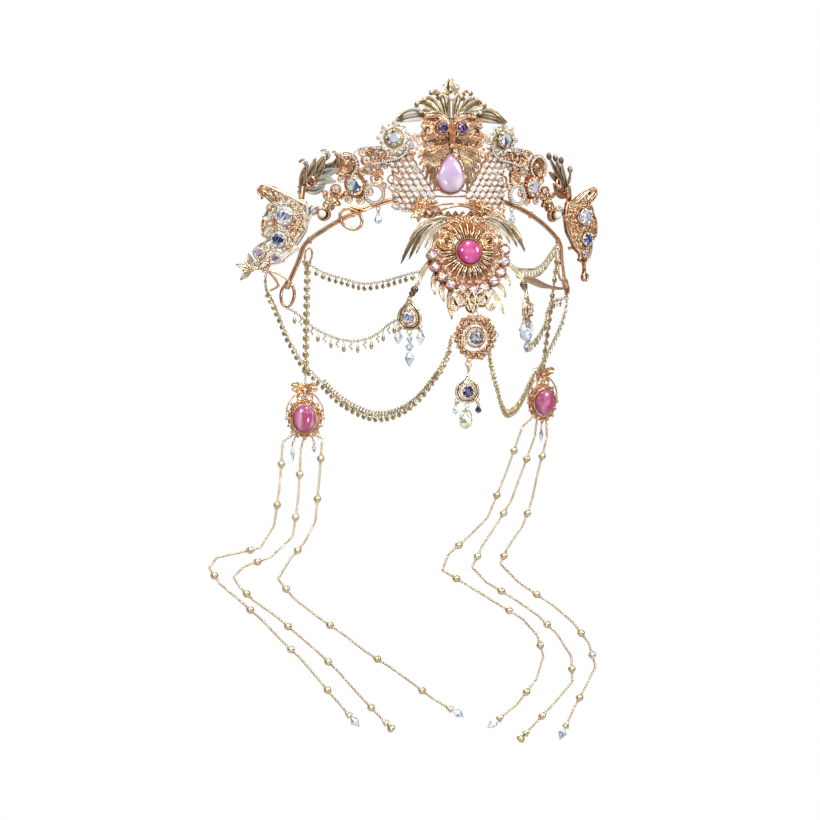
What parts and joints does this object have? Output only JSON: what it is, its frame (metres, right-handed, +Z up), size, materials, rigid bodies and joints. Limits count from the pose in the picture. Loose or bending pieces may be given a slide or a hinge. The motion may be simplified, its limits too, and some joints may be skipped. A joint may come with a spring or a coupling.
{
  "type": "hair crown",
  "caption": "Filigree hair crown with leaves and coloured stones, a forehead and nose piece, pendants, swags of chain and long strands.",
  "frame": {"origin": "inner face of the band at the middle of its front, where the crown rests on the head", "axes": "+Z up, +Y back through the head, +X towards the wearer's left hand side, which is the viewer's right"},
  "size_m": [0.2078, 0.0878, 0.3405],
  "materials": {
    "copper": "rose-copper plated metal, polished, with darker recesses",
    "brass": "warm gold plated metal, polished, with darker recesses",
    "pale_gold": "pale antique gold plated metal",
    "clear_glass": "clear foiled faceted glass, with one white pearl",
    "ice_glass": "pale ice-blue to violet foiled faceted glass",
    "dark_glass": "dark violet-blue foiled faceted glass",
    "lilac_glass": "lilac-white cat's-eye glass cabochon",
    "pink_glass": "pink veined glass cabochon"
  },
  "bodies": {
    "crown": {"band_frame": "copper", "top_palmette": "pale_gold", "centre_filigree": "copper", "copper_leaves": "copper", "teardrop_bezel": "brass", "teardrop_stone": "lilac_glass", "star_mount_left": "pale_gold", "star_mount_right": "pale_gold", "star_stones": "clear_glass", "stone_net_left": "brass", "stone_net_right": "brass", "net_stones_left": "clear_glass", "net_stones_right": "clear_glass", "band_lattice_left": "brass", "band_lattice_right": "brass", "band_stones_left": "clear_glass", "band_stones_right": "clear_glass", "leaf_spray_left": "pale_gold", "leaf_spray_right": "pale_gold", "wing_left": "brass", "wing_right": "brass", "wing_stones_left": "ice_glass", "wing_stones_right": "ice_glass", "brow_stones": "dark_glass", "forehead_bridge": "copper", "forehead_disc": "copper", "forehead_leaf_left": "pale_gold", "forehead_leaf_right": "pale_gold", "forehead_cabochon": "pink_glass", "forehead_rim_stones": "ice_glass", "nose_rosette": "brass", "nose_stone": "clear_glass", "temple_pendant_left": "brass", "temple_pendant_right": "brass", "temple_stones_left": "ice_glass", "temple_stones_right": "ice_glass", "side_pendant_left": "brass", "side_pendant_right": "brass", "side_cabochon_left": "pink_glass", "side_cabochon_right": "pink_glass", "side_beads": "ice_glass", "disc_chain_left": "pale_gold", "disc_chain_right": "pale_gold", "swag_upper_left": "pale_gold", "swag_middle_left": "pale_gold", "swag_lower_left": "pale_gold", "swag_upper_right": "pale_gold", "swag_middle_right": "pale_gold", "swag_lower_right": "pale_gold", "strand_outer_left": "pale_gold", "strand_middle_left": "pale_gold", "strand_inner_left": "pale_gold", "strand_inner_right": "pale_gold", "strand_middle_right": "pale_gold", "strand_outer_right": "pale_gold", "strand_balls_left": "brass", "strand_balls_right": "brass", "strand_glass": "ice_glass"},
    "nose_drop": {"drop_frame": "brass", "drop_stones": "ice_glass"}
  },
  "joints": [
    {"name": "nose_drop_swing", "type": "hinge", "parent": "crown", "child": "nose_drop", "pos_m": [-0.002, -0.041, -0.0852], "axis": [1, 0, 0], "range_deg": [-80, 30]}
  ]
}
